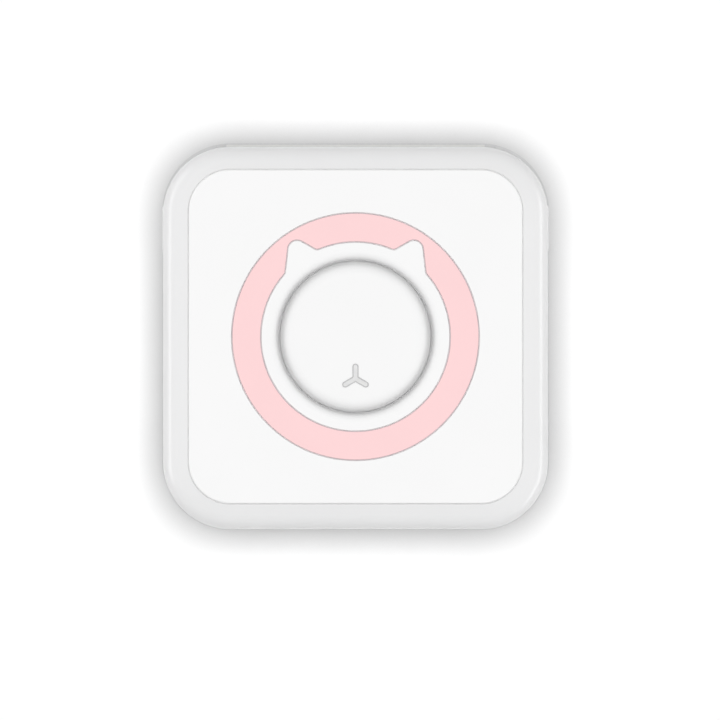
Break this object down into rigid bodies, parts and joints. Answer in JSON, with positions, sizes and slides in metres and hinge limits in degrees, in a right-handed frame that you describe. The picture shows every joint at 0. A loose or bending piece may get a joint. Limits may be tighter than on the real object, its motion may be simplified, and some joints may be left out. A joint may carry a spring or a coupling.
{
  "type": "pocket printer",
  "caption": "Pocket thermal label printer: rounded square clam-shell body with a hinged face cover, large round face button, ear-shaped ring inlay, paper roll and platen inside.",
  "frame": {"origin": "centre of the footprint, on the surface that the four feet rest on", "axes": "+Z out of the face, +Y towards the paper exit, +X to the right seen from the face"},
  "size_m": [0.085, 0.085, 0.0421],
  "materials": {
    "shell_white": "satin moulded ABS",
    "plate_white": "smooth satin",
    "button_white": "smooth satin",
    "ring_pink": "satin inlay",
    "window_grey": "translucent diffuser",
    "foot_rubber": "matte",
    "inner_plastic": "moulded",
    "steel": "zinc plated",
    "bush_plastic": "acetal",
    "platen_rubber": "ground",
    "gear_plastic": "acetal",
    "paper": "smooth coated",
    "core_plastic": "moulded",
    "brass": "machined",
    "head_aluminium": "milled",
    "head_ceramic": "glazed",
    "flex_film": "polyimide film",
    "board_green": "solder mask",
    "chip_black": "moulded epoxy",
    "connector_white": "moulded nylon",
    "led": "clear resin",
    "cell_foil": "laminate foil",
    "tape_foam": "foam tape",
    "lead_red": "insulation",
    "lead_white": "insulation"
  },
  "bodies": {
    "base": {"base_shell": "shell_white", "rubber_feet": "foot_rubber", "tear_bar": "inner_plastic", "paper_tray": "inner_plastic", "tray_screws": "steel", "hinge_pin": "steel", "platen_bush_right": "bush_plastic", "platen_bush_left": "bush_plastic", "paper_strip": "paper"},
    "platen": {"platen_shaft": "steel", "platen_rubber": "platen_rubber", "platen_gear": "gear_plastic"},
    "roll": {"paper_roll": "paper", "roll_core": "core_plastic"},
    "cover": {"cover_shell": "shell_white", "face_plate": "plate_white", "accent_ring": "ring_pink", "tact_switch": "chip_black", "roll_hood": "inner_plastic", "hood_screws": "steel", "mech_frame": "steel", "frame_screws": "steel", "motor_can": "steel", "motor_screws": "steel", "idler_axle": "steel", "idler_clip": "steel", "pressure_spring": "steel", "head_cable": "flex_film", "main_board": "board_green", "board_screws": "steel", "controller_chip": "chip_black", "driver_chip": "chip_black", "radio_shield": "steel", "status_led": "led", "reset_switch": "chip_black", "flex_connector": "connector_white", "battery_connector": "connector_white", "motor_connector": "connector_white", "usb_port": "steel", "usb_tongue": "chip_black", "battery": "cell_foil", "battery_tape": "tape_foam", "battery_leads": "lead_red", "motor_leads": "lead_white"},
    "button": {"power_button": "button_white", "light_window": "window_grey", "switch_plunger": "inner_plastic"},
    "idler": {"idler_gear": "gear_plastic"},
    "motor": {"motor_shaft": "steel", "motor_pinion": "brass"},
    "head": {"head_plate": "head_aluminium", "heater_strip": "head_ceramic"}
  },
  "joints": [
    {"name": "cover_hinge", "type": "hinge", "parent": "base", "child": "cover", "pos_m": [0, -0.0406, 0.02015], "axis": [1, 0, 0], "range_deg": [0, 95]},
    {"name": "button_press", "type": "slide", "parent": "cover", "child": "button", "axis": [0, 0, -1], "range_m": [0, 0.0005], "stiffness_N_per_m": 3000, "springref_m": -0.00005},
    {"name": "platen_spin", "type": "hinge", "parent": "base", "child": "platen", "pos_m": [0, 0.0285, 0.0155], "axis": [1, 0, 0], "continuous": true},
    {"name": "roll_spin", "type": "hinge", "parent": "base", "child": "roll", "pos_m": [0, -0.018, 0.0181], "axis": [1, 0, 0], "continuous": true},
    {"name": "idler_spin", "type": "hinge", "parent": "cover", "child": "idler", "pos_m": [0, 0.02572, 0.02406], "axis": [1, 0, 0], "continuous": true},
    {"name": "motor_spin", "type": "hinge", "parent": "cover", "child": "motor", "pos_m": [0, 0.01686, 0.02869], "axis": [1, 0, 0], "continuous": true},
    {"name": "head_lift", "type": "hinge", "parent": "cover", "child": "head", "pos_m": [0, 0.0236, 0.0222], "axis": [1, 0, 0], "range_deg": [0, 3], "stiffness_Nm_per_rad": 0.3, "springref_deg": -17.19, "deforming": ["pressure_spring"]}
  ],
  "couplings": [
    {"joint": "roll_spin", "follows": "platen_spin", "ratio": 0.30357},
    {"joint": "idler_spin", "follows": "platen_spin", "ratio": -2},
    {"joint": "motor_spin", "follows": "platen_spin", "ratio": 4.6667}
  ]
}
